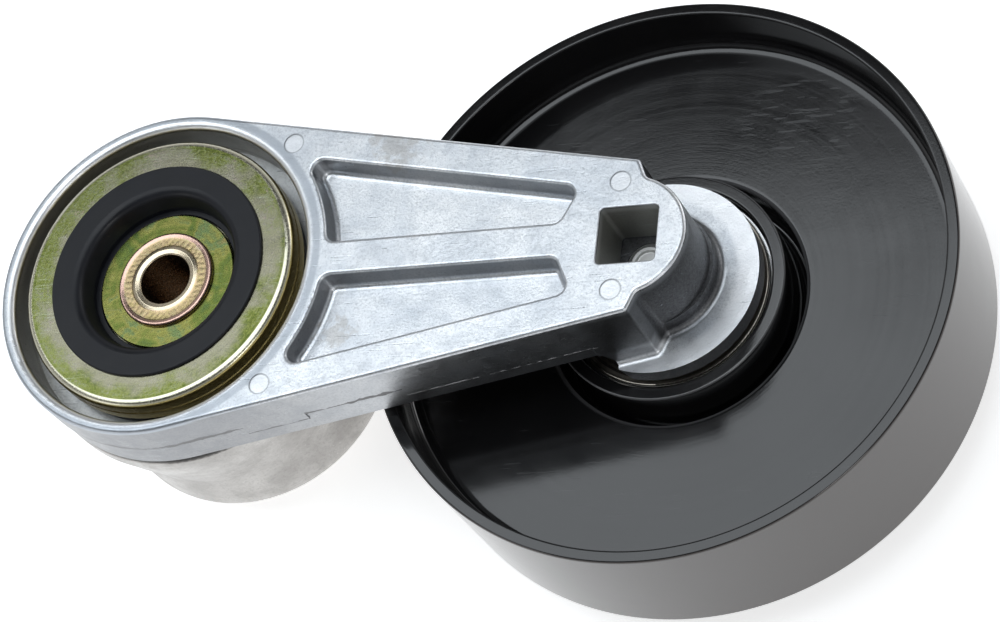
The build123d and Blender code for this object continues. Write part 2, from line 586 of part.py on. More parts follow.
# -------------------------------------------------------------------------- the pieces
pieces = {
    "spring_case": spring_case,
    "locating_pin": locating_pin,
    "pivot_tube": pivot_tube,
    "retaining_washer": retaining_washer,
    "front_plate": front_plate,
    "seal_ring": seal_ring,
    "rear_thrust_washer": rear_thrust_washer,
    "damping_ring": damping_ring,
    "spring_seat": spring_seat,
    "torsion_spring": torsion_spring,
    "arm_pivot_end": arm_pivot_end,
    "arm_beam": arm_beam,
    "front_bush": front_bush,
    "rear_bush": rear_bush,
    "thrust_washer": thrust_washer,
    "pulley_bolt": pulley_bolt,
    "bolt_washer": bolt_washer,
    "front_dust_shield": front_dust_shield,
    "rear_dust_shield": rear_dust_shield,
    "bearing_inner_ring": bearing_inner_ring,
    "bearing_outer_ring": bearing_outer_ring,
    "front_bearing_seal": front_bearing_seal,
    "rear_bearing_seal": rear_bearing_seal,
    "bearing_balls": bearing_balls,
    "cage_front_half": cage_front_half,
    "cage_rear_half": cage_rear_half,
    "cage_rivets": cage_rivets,
    "pulley_rim": pulley_rim,
    "pulley_web": pulley_web,
    "pulley_hub": pulley_hub,
}

os.makedirs("parts", exist_ok=True)
for name, piece in pieces.items():
    piece.part.label = name
    export_step(piece.part, f"parts/{name}.step")
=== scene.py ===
import bmesh
import bpy
import math
from mathutils import Matrix, Vector


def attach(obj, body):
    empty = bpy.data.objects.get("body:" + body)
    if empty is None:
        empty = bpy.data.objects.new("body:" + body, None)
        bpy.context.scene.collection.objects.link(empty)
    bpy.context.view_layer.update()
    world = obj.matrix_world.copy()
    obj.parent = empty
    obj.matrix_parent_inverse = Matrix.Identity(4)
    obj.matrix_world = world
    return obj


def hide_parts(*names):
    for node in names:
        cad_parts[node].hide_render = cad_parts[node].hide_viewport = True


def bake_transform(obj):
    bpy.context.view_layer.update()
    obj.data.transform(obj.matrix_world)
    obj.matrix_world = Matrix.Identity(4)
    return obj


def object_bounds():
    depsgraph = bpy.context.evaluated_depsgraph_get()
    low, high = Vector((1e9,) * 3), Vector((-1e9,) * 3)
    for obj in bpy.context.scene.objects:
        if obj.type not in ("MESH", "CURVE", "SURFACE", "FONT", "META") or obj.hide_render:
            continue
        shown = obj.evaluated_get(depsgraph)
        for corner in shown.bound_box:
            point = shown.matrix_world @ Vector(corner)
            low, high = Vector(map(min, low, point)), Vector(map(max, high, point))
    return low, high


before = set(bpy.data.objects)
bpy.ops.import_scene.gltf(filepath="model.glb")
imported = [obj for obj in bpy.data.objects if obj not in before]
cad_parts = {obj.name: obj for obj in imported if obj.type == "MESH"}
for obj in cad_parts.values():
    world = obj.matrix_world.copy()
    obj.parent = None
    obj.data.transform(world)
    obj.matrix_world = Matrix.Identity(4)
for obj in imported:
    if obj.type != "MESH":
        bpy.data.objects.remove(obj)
cad_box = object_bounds()

# Sizes are in millimetres in the part's own frame, and become metres when a mesh is made.
MM = 0.001
ARM_LENGTH = 109.0  # pivot axis to pulley axis
FACE_Z = 57.0  # front face of the arm
PIVOT = (0.0, 0.0)
PULLEY = (ARM_LENGTH, 0.0)

# the arm
RING_R = 38.5  # its round end
RECESS_R = 35.4
RECESS_MOUTH_R = 36.9
NOSE = (107.9, 0.0)  # the small end is an arc about this point
NOSE_R = 13.8
BEAM_BACK = FACE_Z - 16.4
POCKET_DEPTH = 5.0
DRIVE_SQUARE = 12.9
DRIVE_FLOOR = FACE_Z - 14.4
EJECTOR_R = 2.3
EJECTOR_MARKS = ((29.0, 28.8), (106.5, 12.5))  # each on both sides of the arm
PARTING_DEPTH = 9.0  # of the parting line below the front face, at the round end
PARTING_STEPS = ((22.0, 3.0), (36.0, -2.4), (58.0, 2.8))  # X, and the change of depth there

# the pivot
BORE_R = 5.85
TUBE_R = 9.0
FLARE_R = 11.3
FLARE_BACK = FACE_Z - 4.85
FLARE_TOP = FLARE_BACK + 1.25
DISH_Z = FLARE_BACK + 0.9  # the peened hollow between the flare's two rims
DISH_INNER_R = 8.1
DISH_OUTER_R = 9.9
DENT_RINGS = ((8.6, 37, 0.022), (9.3, 43, 0.02))  # radius, number of dents, depth
DENT_WIDTH = 0.42
PLATE_R = 32.3

# the pulley
PULLEY_R = 65.4
PULLEY_INNER_R = 62.7
PULLEY_BACK = 5.0
PULLEY_FRONT = 38.6
WEB_RIM_Z = 25.2  # front of the web where it meets the rim
WEB_WELL_Z = 24.9  # and where it turns down into the well round the hub
WELL_R = 28.9
WELL_BACK_R = 31.6
WELL_FLOOR_Z = 15.4
WELL_BACK_Z = 12.7
HUB_R = 26.4
HUB_BORE_R = 23.5
HUB_LIP_Z = 31.9
SCUFFED_AT = (133.5, 39.5, 25.5)


# ------------------------------------------------------------------------ node materials
def colour_ramp(tree, value, stops):
    """Colours that follow a value, from (position, colour) stops."""
    ramp = tree.nodes.new("ShaderNodeValToRGB")
    tree.links.new(value, ramp.inputs[0])
    elements = ramp.color_ramp.elements
    while len(elements) < len(stops):
        elements.new(0.5)
    for element, (position, colour) in zip(elements, stops):
        element.position = position
        element.color = (*colour, 1.0)
    return ramp.outputs[0]


class Shader:
    """One node material, with texture coordinates in millimetres in the part's frame."""

    NOISE_SHIFT = (1.0, 1.7, 0.6)  # along X, Y and Z, for each unit of shift asked for

    def __init__(self, name, **constants):
        self.material = bpy.data.materials.new(name)
        self.material.use_nodes = True
        self.tree = self.material.node_tree
        self.bsdf = self.tree.nodes["Principled BSDF"]
        for socket, value in constants.items():
            self.bsdf.inputs[socket.replace("_", " ")].default_value = value
        coords = self.tree.nodes.new("ShaderNodeTexCoord").outputs["Object"]
        self.mm = self.vector("SCALE", coords, Scale=1.0 / MM)

    def node(self, kind, inputs, out=0, **settings):
        """Add a node, with each input set to a value or linked to another node's output."""
        new = self.tree.nodes.new(kind)
        for key, value in settings.items():
            setattr(new, key, value)
        for key, value in inputs.items():
            if isinstance(value, bpy.types.NodeSocket):
                self.tree.links.new(value, new.inputs[key])
            elif value is not None:
                new.inputs[key].default_value = value
        return new.outputs[out]

    def vector(self, operation, a, b=None, out=0, **inputs):
        pairs = {0: a, 1: b, **inputs}
        return self.node("ShaderNodeVectorMath", pairs, out, operation=operation)

    def math(self, operation, a, b=None):
        return self.node("ShaderNodeMath", {0: a, 1: b}, operation=operation)

    def part(self, vector, axis):
        """One component of a vector."""
        return self.node("ShaderNodeSeparateXYZ", {0: vector}, out=axis)

    def noise(self, scale, detail=3.0, rough=0.5, stretch=None, turn=0.0, shift=0.0, warp=0.0):
        """Noise with about this many features per millimetre, from 0 to 1."""
        place = self.mm
        if stretch or turn or shift:
            place = self.node("ShaderNodeMapping", {
                "Vector": place, "Scale": stretch or (1, 1, 1),
                "Rotation": (0, 0, math.radians(turn)),
                "Location": [shift * step for step in self.NOISE_SHIFT]})
        return self.node("ShaderNodeTexNoise", {
            "Vector": place, "Scale": scale, "Detail": detail, "Roughness": rough,
            "Distortion": warp})

    def rings(self, centre, scale, detail=4.0, shift=0.0):
        """Noise that runs in circles round a vertical axis, like turning marks."""
        distance = self.math("ADD", self.axis_distance(centre), shift)
        return self.node("ShaderNodeTexNoise", {
            "W": distance, "Scale": scale, "Detail": detail, "Roughness": 0.7},
            noise_dimensions="1D")

    def point_distance(self, point, squash=(1, 1, 1)):
        """Distance from a point, with each axis scaled by squash."""
        away = self.vector("MULTIPLY", self.vector("SUBTRACT", self.mm, point), squash)
        return self.vector("LENGTH", away, out="Value")

    def axis_distance(self, centre):
        """Distance from a vertical axis."""
        return self.point_distance((*centre, 0.0), squash=(1, 1, 0))

    def upness(self):
        """How far the surface faces along +Z of its own object, from -1 to 1."""
        return self.part(self.node("ShaderNodeTexCoord", {}, out="Normal"), "Z")

    def remap(self, value, low, high, to_low, to_high):
        """Carry the range from low to high over to another, smoothly and no further."""
        return self.node("ShaderNodeMapRange", {
            "Value": value, "From Min": low, "From Max": high, "To Min": to_low, "To Max": to_high},
            interpolation_type="SMOOTHSTEP")

    def above(self, value, low, high, most=1.0):
        """A mask that rises from 0 to most as the value goes from low to high."""
        return self.remap(value, low, high, 0.0, most)

    def below(self, value, low, high, most=1.0):
        """A mask that falls from most to 0 as the value goes from low to high."""
        return self.remap(value, low, high, most, 0.0)

    def more(self, value, limit):
        return self.math("GREATER_THAN", value, limit)

    def less(self, value, limit):
        return self.math("LESS_THAN", value, limit)

    def times(self, value, factor):
        return self.math("MULTIPLY", value, factor)

    def both(self, mask, *others):
        """A mask of the places that all of these masks share."""
        for other in others:
            mask = self.times(mask, other)
        return mask

    def either(self, mask, *others):
        """A mask of the places that any of these masks has."""
        for other in others:
            mask = self.math("MAXIMUM", mask, other)
        return mask

    def ramp(self, value, *stops):
        return colour_ramp(self.tree, value, stops)

    def cover(self, colour, mask, tone, amount=1.0):
        """Lay a tone over a colour where the mask is, as strongly as amount says."""
        mix = self.tree.nodes.new("ShaderNodeMix")
        mix.data_type = "RGBA"
        self.tree.links.new(self.times(mask, amount), mix.inputs[0])
        for index, value in ((6, colour), (7, tone)):
            if isinstance(value, bpy.types.NodeSocket):
                self.tree.links.new(value, mix.inputs[index])
            else:
                mix.inputs[index].default_value = (*value, 1.0)
        return mix.outputs[2]

    def paint(self, **links):
        for socket, value in links.items():
            self.tree.links.new(value, self.bsdf.inputs[socket.replace("_", " ")])

    def bumps(self, *layers):
        """Stack (height, depth in millimetres) layers of relief."""
        normal = None
        for height, depth in layers:
            normal = self.node("ShaderNodeBump", {
                "Height": height, "Distance": depth * MM, "Strength": 1.0, "Normal": normal})
        self.tree.links.new(normal, self.bsdf.inputs["Normal"])


def ejector_marks(s):
    """Masks of the round marks on the casting: the discs, and the thin lines round them."""
    nearest = None
    for x, y in EJECTOR_MARKS:
        for side in (1, -1):
            distance = s.point_distance((x, side * y, FACE_Z))
            nearest = distance if nearest is None else s.math("MINIMUM", nearest, distance)
    disc = s.below(nearest, EJECTOR_R - 0.1, EJECTOR_R + 0.1)
    outline = s.both(s.above(nearest, EJECTOR_R - 0.35, EJECTOR_R - 0.05),
                     s.below(nearest, EJECTOR_R, EJECTOR_R + 0.3))
    return disc, outline


def blotch(s, point, reach, seed):
    """A soft stain with a ragged edge."""
    ragged = s.remap(s.noise(0.35, 5.0, 0.65, shift=seed), 0.3, 0.7, -0.45, 0.45)
    distance = s.math("DIVIDE", s.point_distance(point), reach)
    return s.below(s.math("ADD", distance, ragged), 0.35, 1.0)


def scratches(s, turn, seed, scarcity, gap=2.2):
    """Sparse fine scratches in one direction; fewer patches have them as scarcity goes up."""
    fine = s.noise(gap, 2.0, stretch=(0.035, 1, 1), turn=turn, shift=seed)
    patches = s.noise(0.06, 2.0, shift=seed + 9)
    return s.both(s.above(fine, 0.66, 0.72), s.above(patches, scarcity, scarcity + 0.08))


def parting_line(s):
    """The ragged line left on the casting's sides where the dies met, and its tone.

    It is heavy before the first step of its depth and between the other two, and at the last
    it turns from dark to bright.
    """
    along = s.part(s.mm, "X")
    first, second, third = (x for x, _ in PARTING_STEPS)
    depth = PARTING_DEPTH
    for x, change in PARTING_STEPS:
        depth = s.math("ADD", depth, s.times(s.more(along, x), change))
    level = s.math("SUBTRACT", s.math("SUBTRACT", FACE_Z, depth), s.part(s.mm, "Z"))
    wander = s.remap(s.noise(0.5, 3.0, shift=3), 0.3, 0.7, -0.22, 0.22)
    off_line = s.math("ABSOLUTE", s.math("ADD", level, wander))
    heavy = s.either(s.less(along, first), s.both(s.more(along, second), s.less(along, third)))
    width = s.times(s.remap(s.noise(0.16, 2.0, shift=6), 0.35, 0.65, 0.12, 0.5),
                    s.remap(heavy, 0.0, 1.0, 0.7, 1.9))
    line = s.both(s.less(off_line, width), s.less(s.upness(), 0.3), s.less(along, 100.0))
    return line, s.cover((0.03, 0.03, 0.033), s.more(along, third), (0.9, 0.9, 0.92))


def socket_inside(s):
    """A mask of the square socket's walls, down to just above its floor."""
    height = s.part(s.mm, "Z")
    away = s.vector("ABSOLUTE", s.vector("SUBTRACT", s.mm, (*PULLEY, 0.0)))
    reach = DRIVE_SQUARE / 2 + 0.3
    return s.both(s.less(height, FACE_Z - 0.6), s.less(s.part(away, "X"), reach),
                  s.less(s.part(away, "Y"), reach), s.more(height, DRIVE_FLOOR + 0.4))


def small_end_shade(s, from_nose):
    """A mask of the neck under the small end, and of the sides next to it, where shade is painted.
    """
    along, height = s.part(s.mm, "X"), s.part(s.mm, "Z")
    neck = s.both(s.below(from_nose, NOSE_R + 1.1, NOSE_R + 2.6),
                  s.below(height, FACE_Z - 3.0, FACE_Z - 1.0), s.more(along, 100.0))
    step = s.both(s.above(along, 97.0, 103.0), s.below(s.upness(), 0.15, 0.5),
                  s.above(height, BEAM_BACK - 0.6, BEAM_BACK + 1.4),
                  s.below(height, FACE_Z - 2.5, FACE_Z - 1.0, 0.8),
                  s.above(from_nose, NOSE_R - 0.4, NOSE_R + 0.4))
    return s.either(neck, step)


def cast_aluminium():
    s = Shader("cast_aluminium", Metallic=1.0)
    height = s.part(s.mm, "Z")
    from_pivot = s.axis_distance(PIVOT)
    from_nose = s.axis_distance(NOSE)

    # the skin of the casting
    broad = s.noise(0.055, 3.0, 0.6, warp=0.6)
    cloudy = s.noise(0.28, 5.0, 0.62, shift=4)
    grain = s.noise(1.9, 5.0, 0.72, shift=8)
    drawn = s.noise(0.9, 3.0, 0.6, stretch=(0.05, 1, 1), turn=-4, shift=12)
    colour = s.ramp(broad, (0.32, (0.62, 0.66, 0.71)), (0.66, (0.90, 0.915, 0.93)))
    colour = s.cover(colour, s.above(cloudy, 0.44, 0.70), (0.52, 0.56, 0.61), 0.34)
    colour = s.cover(colour, s.above(grain, 0.44, 0.66), (0.45, 0.475, 0.51), 0.6)
    colour = s.cover(colour, s.above(drawn, 0.5, 0.75), (0.80, 0.82, 0.85), 0.25)

    # its sides, with painted shade that is heaviest round the pivot and darkest on the small end's
    # neck, and a painted highlight on the flange round that neck
    seam, seam_tone = parting_line(s)
    colour = s.cover(colour, seam, seam_tone)
    sides = s.times(s.below(s.upness(), 0.1, 0.6),
                    s.remap(from_pivot, RING_R - 0.5, 60.0, 0.80, 0.54))
    colour = s.cover(colour, sides, (0.20, 0.20, 0.205))
    # painted shade: the neck and the sides next to it are darkened to charcoal
    neck_shade = s.ramp(grain, (0.35, (0.045, 0.045, 0.047)), (0.7, (0.19, 0.19, 0.195)))
    colour = s.cover(colour, small_end_shade(s, from_nose), neck_shade, 0.9)
    # painted highlight: the top of the flange round the small end's neck is lightened
    flange_highlight = s.both(s.above(from_nose, NOSE_R + 3.7, NOSE_R + 5.7),
                    s.below(height, FACE_Z - 13.0, FACE_Z - 12.0), s.above(s.upness(), 0.5, 0.8))
    colour = s.cover(colour, flange_highlight, (0.97, 0.98, 1.0), 0.7)

    # the edge of the recess with a painted highlight, painted shade on the face round it and on its
    # wall, and the drive socket
    mouth_highlight = s.both(s.below(from_pivot, RECESS_MOUTH_R - 0.3, RECESS_MOUTH_R + 0.2),
                   s.above(height, FACE_Z - 1.6, FACE_Z - 0.9))
    colour = s.cover(colour, mouth_highlight, (0.95, 0.96, 0.97), 0.8)
    # painted shade darkens the ring's face round the recess
    crown_shade = s.both(s.above(from_pivot, RECESS_MOUTH_R - 0.1, RECESS_MOUTH_R + 0.7),
                   s.below(from_pivot, RING_R + 0.1, RING_R + 0.9), s.more(height, FACE_Z - 1.2))
    colour = s.cover(colour, crown_shade, (0.42, 0.455, 0.50), 0.8)
    # painted shade, tinted olive, on the recess wall
    wall_shade = s.both(s.less(from_pivot, RECESS_R + 0.5), s.below(height, FACE_Z - 2.2, FACE_Z - 1.2))
    colour = s.cover(colour, wall_shade, (0.40, 0.38, 0.30), 0.3)
    socket = socket_inside(s)
    colour = s.cover(colour, socket, (0.50, 0.50, 0.44), 0.45)

    # scratches, stains and the ejector marks
    scored = s.either(scratches(s, 24, 3, 0.5), scratches(s, -38, 15, 0.52))
    colour = s.cover(colour, scored, (0.46, 0.48, 0.51), 0.4)
    stains = s.either(blotch(s, (54.0, 27.0, FACE_Z), 7.5, 2),
                      blotch(s, (42.5, -16.0, FACE_Z - POCKET_DEPTH), 5.0, 7))
    colour = s.cover(colour, stains, (0.34, 0.30, 0.25), 0.4)
    disc, outline = ejector_marks(s)
    colour = s.cover(colour, disc, (0.92, 0.93, 0.95), 0.55)
    colour = s.cover(colour, outline, (0.22, 0.23, 0.25), 0.6)

    rough = s.remap(cloudy, 0.3, 0.7, 0.29, 0.38)
    rough = s.math("SUBTRACT", rough, s.times(scored, 0.1))
    rough = s.math("ADD", rough, s.times(socket, 0.15))
    dull = s.either(s.times(seam, 0.75), s.times(socket, 0.4), s.times(wall_shade, 0.4))
    s.paint(Base_Color=colour, Roughness=rough, Metallic=s.math("SUBTRACT", 1.0, dull))
    s.bumps((broad, 0.14), (cloudy, 0.022), (grain, 0.05),
            (s.math("SUBTRACT", 1.0, scored), 0.010), (s.math("SUBTRACT", 1.0, seam), 0.08))
    return s.material


def case_aluminium():
    s = Shader("case_aluminium", Metallic=1.0)
    cloudy = s.noise(0.16, 5.0, 0.62, shift=9)
    streaks = s.noise(0.10, 4.0, 0.6, stretch=(0.5, 1, 0.8), turn=35, shift=5)
    grain = s.noise(1.5, 5.0, 0.72, shift=2)
    colour = s.ramp(streaks, (0.34, (0.36, 0.345, 0.33)), (0.66, (0.56, 0.545, 0.525)))
    colour = s.cover(colour, s.above(cloudy, 0.45, 0.7), (0.38, 0.365, 0.35), 0.5)
    colour = s.cover(colour, s.above(grain, 0.46, 0.68), (0.27, 0.26, 0.25), 0.45)
    scored = s.either(scratches(s, 30, 6, 0.48), scratches(s, -50, 17, 0.5))
    colour = s.cover(colour, scored, (0.74, 0.73, 0.72), 0.5)
    s.paint(Base_Color=colour, Roughness=s.remap(cloudy, 0.3, 0.7, 0.30, 0.44))
    s.bumps((cloudy, 0.06), (streaks, 0.10), (grain, 0.035))
    return s.material


def zinc(name, stops, scale, rough, granular, turned=0.15, rubbing=0.45, band=None, zones=()):
    """Zinc plate round the pivot, whose passivated tint drifts.

    granular and turned say how far grain and turning marks move the tint, and rubbing how
    strongly the scratches show. band is a paler tone and the two radii between which it fades
    out. zones are rings of another tone: (tone, inner radius, outer radius, amount).
    """
    s = Shader(name, Metallic=1.0)
    drift = s.noise(scale, 3.0, 0.55, warp=0.7)
    grain = s.noise(1.7, 5.0, 0.75, shift=3, warp=1.2)
    circles = s.rings(PIVOT, 1.1)
    tint = s.math("ADD", drift, s.remap(grain, 0.3, 0.7, -granular / 2, granular / 2))
    tint = s.math("ADD", tint, s.remap(circles, 0.3, 0.7, -turned / 2, turned / 2))
    colour = s.ramp(tint, *stops)
    speckle = s.above(s.noise(2.6, 3.0, 0.6, shift=11), 0.54, 0.70)
    colour = s.cover(colour, speckle, (0.12, 0.12, 0.05), 0.5)
    radius = s.axis_distance(PIVOT)
    if band:
        tone, inner, outer = band
        wander = s.remap(s.noise(0.09, 4.0, 0.65, shift=31), 0.3, 0.7, -3.5, 3.5)
        colour = s.cover(colour, s.below(s.math("ADD", radius, wander), inner, outer), tone, 0.62)
    for tone, inner, outer, amount in zones:
        zone = s.both(s.above(radius, inner - 0.15, inner + 0.15),
                      s.below(radius, outer - 0.15, outer + 0.15))
        colour = s.cover(colour, zone, tone, amount)
    rubbed = s.either(scratches(s, 18, 5, 0.46, gap=3.0), scratches(s, -55, 14, 0.48, gap=3.0))
    colour = s.cover(colour, rubbed, (0.46, 0.50, 0.38), rubbing)
    s.paint(Base_Color=colour, Roughness=s.remap(grain, 0.3, 0.7, rough, rough + 0.12))
    s.bumps((drift, 0.05), (grain, 0.02), (circles, 0.01))
    return s.material


def rubber(name, colour, rough):
    """Smooth dark rubber or nylon."""
    s = Shader(name, Specular_IOR_Level=0.35)
    wide = s.noise(0.12, 3.0, 0.5)
    fine = s.noise(2.5, 3.0, 0.6, shift=4)
    tone = s.ramp(wide, (0.3, colour), (0.75, tuple(c * 1.7 + 0.002 for c in colour)))
    s.paint(Base_Color=tone, Roughness=s.remap(wide, 0.3, 0.7, rough, rough + 0.12))
    s.bumps((wide, 0.06), (fine, 0.012))
    return s.material


def pulley_paint():
    """Black electrocoat, scuffed in one place on the web and worn at the hub's lip, with a painted
    highlight round the well's edge.
    """
    s = Shader("black_electrocoat", Specular_IOR_Level=0.75)
    height = s.part(s.mm, "Z")
    from_axis = s.axis_distance(PULLEY)
    circles = s.rings(PULLEY, 0.55, 5.0)
    fine_circles = s.rings(PULLEY, 2.6, 2.0, shift=40)
    wide = s.noise(0.04, 3.0, 0.5)
    grain = s.noise(1.8, 3.0, 0.6, shift=5)

    rubbed = s.either(
        s.above(s.noise(0.8, 2.0, stretch=(0.12, 1, 1), turn=-62, shift=21), 0.60, 0.66),
        s.above(s.noise(0.8, 2.0, stretch=(0.16, 1, 1), turn=-8, shift=33), 0.62, 0.68))
    scuffs = s.both(s.below(s.point_distance(SCUFFED_AT, (1, 1, 0.3)), 9.0, 17.0), rubbed)
    hair = s.either(scratches(s, 50, 41, 0.55), scratches(s, -20, 57, 0.55))
    worn = s.either(s.times(scuffs, 0.55), s.times(hair, 0.4))

    belt_face = s.above(from_axis, PULLEY_R - 0.4, PULLEY_R - 0.1)
    well_edge_highlight = s.both(s.below(from_axis, WELL_R + 0.3, WELL_R + 1.2),
                       s.above(height, WEB_WELL_Z - 1.5, WEB_WELL_Z - 1.0),
                       s.above(from_axis, WELL_R - 0.3, WELL_R - 0.1))
    hub_lip = s.both(s.above(from_axis, HUB_R - 0.5, HUB_R - 0.2),
                     s.above(height, HUB_LIP_Z - 0.6, HUB_LIP_Z - 0.3),
                     s.below(from_axis, HUB_R + 0.1, HUB_R + 0.3))

    colour = s.ramp(wide, (0.3, (0.006, 0.006, 0.0065)), (0.7, (0.011, 0.0105, 0.011)))
    colour = s.cover(colour, belt_face, (0.038, 0.031, 0.028))
    colour = s.cover(colour, worn, (0.10, 0.10, 0.102), 0.5)
    # a painted highlight round the well's edge, and wear on the hub's lip
    colour = s.cover(colour, s.either(well_edge_highlight, hub_lip), (0.16, 0.16, 0.165), 0.5)
    rough = s.remap(circles, 0.3, 0.7, 0.10, 0.135)
    rough = s.math("ADD", rough, s.remap(wide, 0.3, 0.7, -0.02, 0.04))
    s.paint(Base_Color=colour, Roughness=s.math("ADD", rough, s.times(worn, 0.12)))
    s.bumps((circles, 0.004), (fine_circles, 0.002), (grain, 0.006), (wide, 0.05))
    return s.material


def turned_metal(name, dark, light, centre, rough=0.22, depth=0.006):
    """Smooth metal with fine circles from turning or grinding."""
    s = Shader(name, Metallic=1.0)
    circles = s.rings(centre, 1.6)
    cloudy = s.noise(0.3, 4.0, 0.6)
    colour = s.ramp(cloudy, (0.3, dark), (0.7, light))
    s.paint(Base_Color=colour, Roughness=s.remap(circles, 0.3, 0.7, rough, rough + 0.14))
    s.bumps((circles, depth), (cloudy, 3 * depth))
    return s.material


# --------------------------------------------------------------------------- mesh pieces
def add_object(name, data):
    new = bpy.data.objects.new(name, data)
    bpy.context.collection.objects.link(new)
    return new


def rounded(corners, support=0.25):
    """A closed (radius, height) section from (radius, height, rounding) corners.

    Each rounding becomes an arc of fine steps. Where a side is long enough, another point
    this far past the arc's end keeps the shading of the side flat.
    """
    arc_step = 9.0
    points = []
    for index, (r, z, rounding) in enumerate(corners):
        corner = Vector((r, z))
        if rounding <= 0:
            points.append(corner)
            continue
        before = Vector(corners[index - 1][:2]) - corner
        after = Vector(corners[(index + 1) % len(corners)][:2]) - corner
        half = before.angle(after) / 2
        reach = rounding / math.tan(half)
        start = corner + before.normalized() * reach
        end = corner + after.normalized() * reach
        inward = (before.normalized() + after.normalized()).normalized()
        middle = corner + inward * (rounding / math.sin(half))
        spoke = start - middle
        turn = 1 if spoke.cross(end - middle) > 0 else -1
        sweep = math.pi - 2 * half
        count = max(2, math.ceil(math.degrees(sweep) / arc_step))
        if before.length - reach > 2 * support:
            points.append(start + before.normalized() * support)
        for i in range(count + 1):
            points.append(middle + Matrix.Rotation(turn * sweep * i / count, 2) @ spoke)
        if after.length - reach > 2 * support:
            points.append(end + after.normalized() * support)
    return points


def revolved(name, section, centre, segments, relief=None):
    """An object: a section turned about a vertical axis. relief moves its points along Z."""
    mesh = bpy.data.meshes.new(name)
    bm = bmesh.new()
    loops = []
    for i in range(segments):
        angle = 2 * math.pi * i / segments
        ring = []
        for r, z in section:
            lift = relief(r, z, angle) if relief else 0.0
            x = centre[0] + r * math.cos(angle)
            y = centre[1] + r * math.sin(angle)
            ring.append(bm.verts.new((x * MM, y * MM, (z + lift) * MM)))
        loops.append(ring)
    for i in range(segments):
        here, there = loops[i], loops[(i + 1) % segments]
        for j in range(len(section)):
            k = (j + 1) % len(section)
            bm.faces.new((here[j], there[j], there[k], here[k]))
    bmesh.ops.recalc_face_normals(bm, faces=bm.faces)
    bm.to_mesh(mesh)
    bm.free()
    mesh.shade_smooth()
    mesh.set_sharp_from_angle(angle=math.radians(38))
    return add_object(name, mesh)


def add_piece(name, section, centre, body, slot, material, replaced, **options):
    """A turned piece that rides on a body and stands for the replaced CAD nodes."""
    piece = revolved(name, section, centre, **options)
    piece.data.materials.append(material)
    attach(piece, body)
    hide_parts(*replaced)


# The pulley is pressed from one sheet: the belt rim, the web, a well, and the hub inside it.
black = pulley_paint()
pulley_section = rounded([
    (PULLEY_INNER_R, PULLEY_FRONT, 0.45), (PULLEY_R, PULLEY_FRONT, 0.6),
    (PULLEY_R, PULLEY_BACK, 0.6), (PULLEY_INNER_R, PULLEY_BACK, 0.45),
    (PULLEY_INNER_R, 23.0, 2.0), (34.0, 21.98, 6.0), (WELL_BACK_R, 21.87, 2.0),
    (WELL_BACK_R, WELL_BACK_Z, 3.8), (21.8, WELL_BACK_Z, 0.5), (21.8, WELL_FLOOR_Z, 0.3),
    (HUB_BORE_R, WELL_FLOOR_Z, 0.0), (HUB_BORE_R, HUB_LIP_Z, 0.5), (HUB_R, HUB_LIP_Z, 0.4),
    (HUB_R, WELL_FLOOR_Z, 1.2), (WELL_R, WELL_FLOOR_Z, 1.2), (WELL_R, WEB_WELL_Z, 1.1),
    (PULLEY_INNER_R, WEB_RIM_Z, 2.6)])
add_piece("pulley_shell", pulley_section, PULLEY, "pulley", "black_paint", black,
          ("pulley_rim", "pulley_web", "pulley_hub"), segments=320)


def peened(r, z, angle):
    """Small dents in the tube's flare, left by the tool that spread it."""
    if z < FLARE_BACK + 0.65 or not 7.2 < r < 9.8:
        return 0.0
    dent = 0.0
    for radius, count, depth in DENT_RINGS:
        around = math.sin(angle * count / 2) ** 4
        dent += depth * around * math.exp(-((r - radius) / DENT_WIDTH) ** 2)
    return -dent


# Colour stops of the three zinc plates, along the tint that drifts.
GOLD = [(0.25, (0.32, 0.27, 0.10)), (0.42, (0.60, 0.48, 0.24)), (0.52, (0.62, 0.40, 0.32)),
        (0.62, (0.42, 0.42, 0.18)), (0.75, (0.70, 0.52, 0.45))]
OLIVE = [(0.25, (0.085, 0.115, 0.025)), (0.42, (0.175, 0.205, 0.050)),
         (0.54, (0.250, 0.262, 0.085)), (0.66, (0.215, 0.262, 0.150)),
         (0.80, (0.330, 0.270, 0.190))]
GREEN = [(0.25, (0.072, 0.130, 0.050)), (0.42, (0.150, 0.190, 0.045)),
         (0.54, (0.270, 0.262, 0.075)), (0.64, (0.150, 0.215, 0.090)),
         (0.78, (0.280, 0.230, 0.090))]
FLARE_ZONES = (
    ((0.30, 0.23, 0.17), 0.0, BORE_R + 0.1, 1.0),  # the bore
    ((0.95, 0.84, 0.64), 6.0, 7.75, 0.7),  # the inner rim, lightened to a painted highlight
    ((0.44, 0.34, 0.17), 8.0, 9.85, 0.6),  # the dish
    ((0.74, 0.48, 0.41), 10.1, FLARE_R + 0.2, 0.85))  # the outer rim, pinkish and lightened as a painted highlight
PLATE_BAND = ((0.35, 0.315, 0.275), 25.0, 30.5)
PLATE_ZONES = (
    ((0.86, 0.82, 0.66), PLATE_R - 1.55, PLATE_R - 0.35, 0.85),  # the rolled edge, lightened to cream as a painted highlight
    ((0.58, 0.42, 0.16), PLATE_R - 0.32, PLATE_R + 0.7, 0.7))  # the side below it, lightened golden brown as a painted reflection

